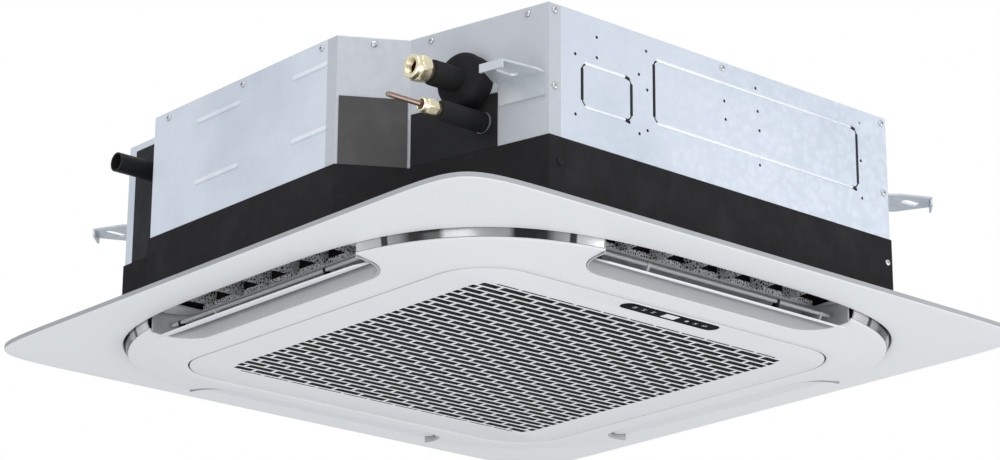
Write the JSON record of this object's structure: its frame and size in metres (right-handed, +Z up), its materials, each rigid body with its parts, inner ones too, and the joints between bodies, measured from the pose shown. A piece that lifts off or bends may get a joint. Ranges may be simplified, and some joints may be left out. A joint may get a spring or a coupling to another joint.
{
  "type": "ceiling cassette air conditioner",
  "caption": "Square ceiling cassette air conditioner: steel casing with pipe connections over a white panel with swinging louvers round a hinged intake grille.",
  "frame": {"origin": "centre of the rectangle of the four hanging slots, in the middle plane of the hanging brackets", "axes": "+Z up towards the slab the unit hangs from, -Y towards the display side of the panel, -X towards the side with the pipe connections and the drain"},
  "size_m": [0.95, 0.95, 0.2863],
  "materials": {
    "galvanised": "satin galvanised sheet",
    "hanger_steel": "satin galvanised plate",
    "screw_steel": "satin",
    "grey_foam": "matte closed-cell foam",
    "black_foam": "matte foam",
    "black_plastic": "matte",
    "dark_grey_plastic": "matte",
    "copper": "drawn copper",
    "brass": "turned brass",
    "fin_aluminium": "finned aluminium",
    "end_steel": "galvanised",
    "fan_plastic": "matte",
    "motor_metal": "satin",
    "white_moulding": "fine satin",
    "inner_white": "matte",
    "trim_gloss": "glossy grey",
    "outlet_grey": "satin grey",
    "vane_grey": "matte",
    "filter_net": "fine net",
    "window_black": "polished",
    "board_green": "solder mask",
    "hose_grey": "matte",
    "pump_plastic": "matte",
    "float_orange": "matte"
  },
  "bodies": {
    "unit": {"front_plate": "galvanised", "right_plate": "galvanised", "back_plate": "galvanised", "left_plate": "galvanised", "pipe_corner_plate": "galvanised", "corner_plates": "galvanised", "drain_corner_plate": "galvanised", "top_plate": "galvanised", "roof_lining": "grey_foam", "wall_lining": "grey_foam", "casing_screws": "screw_steel", "hangers": "hanger_steel", "drain_pan": "black_foam", "bell_mouth": "inner_white", "fan_motor": "motor_metal", "coil": "fin_aluminium", "coil_ends": "end_steel", "coil_pipes": "copper", "gas_pipe": "copper", "gas_nut": "brass", "liquid_pipe": "copper", "liquid_nut": "brass", "pipe_insulation": "black_foam", "pipe_cover": "black_plastic", "side_cover": "dark_grey_plastic", "drain_cover": "black_plastic", "drain_pipe": "black_plastic", "drain_hose": "hose_grey", "drain_pump": "pump_plastic", "float_switch": "pump_plastic", "control_box": "end_steel", "control_lid": "end_steel", "control_board": "board_green", "panel_seal": "grey_foam", "panel_chassis": "inner_white", "panel_bolts": "screw_steel", "panel_frame": "white_moulding", "corner_trims": "trim_gloss", "island_frame": "white_moulding", "opening_frame": "inner_white", "outlet_ducts": "outlet_grey", "outlet_vanes": "vane_grey", "swing_motors": "motor_metal", "grille_catches": "black_plastic"},
    "fan": {"turbo_fan": "fan_plastic", "fan_shaft": "screw_steel", "fan_nut": "screw_steel"},
    "pump_rotor": {"pump_impeller": "pump_plastic"},
    "float_body": {"float": "float_orange"},
    "louver_front": {"front_louver": "white_moulding"},
    "louver_right": {"right_louver": "white_moulding"},
    "louver_back": {"back_louver": "white_moulding"},
    "louver_left": {"left_louver": "white_moulding"},
    "grille_lugs": {"hinge_pins": "screw_steel"},
    "grille": {"intake_grille": "white_moulding", "air_filter": "filter_net", "display_window": "window_black", "display_board": "board_green"}
  },
  "joints": [
    {"name": "fan_spin", "type": "hinge", "parent": "unit", "child": "fan", "pos_m": [0, 0, 0.035], "axis": [0, 0, 1], "continuous": true},
    {"name": "pump_spin", "type": "hinge", "parent": "unit", "child": "pump_rotor", "pos_m": [-0.3101, 0.3101, -0.065], "axis": [0, 0, 1], "continuous": true},
    {"name": "float_rise", "type": "slide", "parent": "unit", "child": "float_body", "axis": [0, 0, 1], "range_m": [0, 0.008]},
    {"name": "louver_front_swing", "type": "hinge", "parent": "unit", "child": "louver_front", "pos_m": [0, -0.373, -0.175], "axis": [1, 0, 0], "range_deg": [-35, 10]},
    {"name": "louver_right_swing", "type": "hinge", "parent": "unit", "child": "louver_right", "pos_m": [0.373, 0, -0.175], "axis": [0, 1, 0], "range_deg": [0, 45]},
    {"name": "louver_back_swing", "type": "hinge", "parent": "unit", "child": "louver_back", "pos_m": [0, 0.373, -0.175], "axis": [-1, 0, 0], "range_deg": [0, 45]},
    {"name": "louver_left_swing", "type": "hinge", "parent": "unit", "child": "louver_left", "pos_m": [-0.373, 0, -0.175], "axis": [0, -1, 0], "range_deg": [-35, 10]},
    {"name": "grille_drop", "type": "slide", "parent": "unit", "child": "grille_lugs", "axis": [0, 0, -1], "range_m": [0, 0.02]},
    {"name": "grille_swing", "type": "hinge", "parent": "grille_lugs", "child": "grille", "pos_m": [0, 0.293, -0.19], "axis": [1, 0, 0], "range_deg": [0, 90]}
  ],
  "couplings": [
    {"joint": "grille_drop", "follows": "grille_swing", "m_per_rad": 0.012732}
  ]
}
